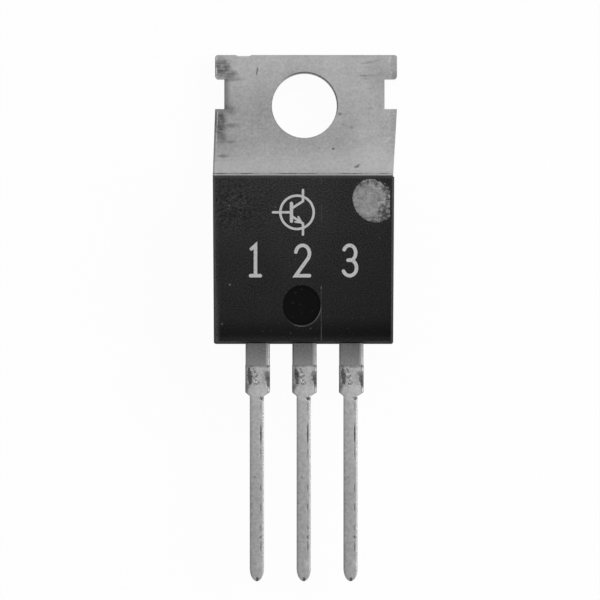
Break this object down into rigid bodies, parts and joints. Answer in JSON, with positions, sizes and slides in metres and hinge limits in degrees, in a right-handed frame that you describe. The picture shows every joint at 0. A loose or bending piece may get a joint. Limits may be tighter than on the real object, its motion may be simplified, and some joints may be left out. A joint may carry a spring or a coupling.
{
  "type": "power transistor",
  "caption": "Three-lead power transistor in a flat moulded package with a bare metal mounting tab, a screw hole and straight leads, for switching or amplifying on a heat sink",
  "frame": {"origin": "centre of the screw hole, on the back face of the mounting tab", "axes": "+Z out of the printed front and along the screw hole, +Y towards the tab's top edge with the leads running to -Y, +X to the right seen from the front"},
  "size_m": [0.01, 0.0285, 0.0045],
  "materials": {
    "case_resin": "fine matte",
    "plated_copper": "satin nickel plate",
    "tinned_lead": "solder dipped",
    "silicon": "polished",
    "solder": "satin",
    "bond_wire": "bright",
    "print_ink": "thin pale print",
    "sorting_paint": "thin brushed paint dot"
  },
  "bodies": {
    "root": {"case": "case_resin", "mounting_tab": "plated_copper", "base_lead": "tinned_lead", "emitter_lead": "tinned_lead", "die": "silicon", "die_solder": "solder", "base_wire": "bond_wire", "emitter_wire": "bond_wire"}
  },
  "joints": []
}
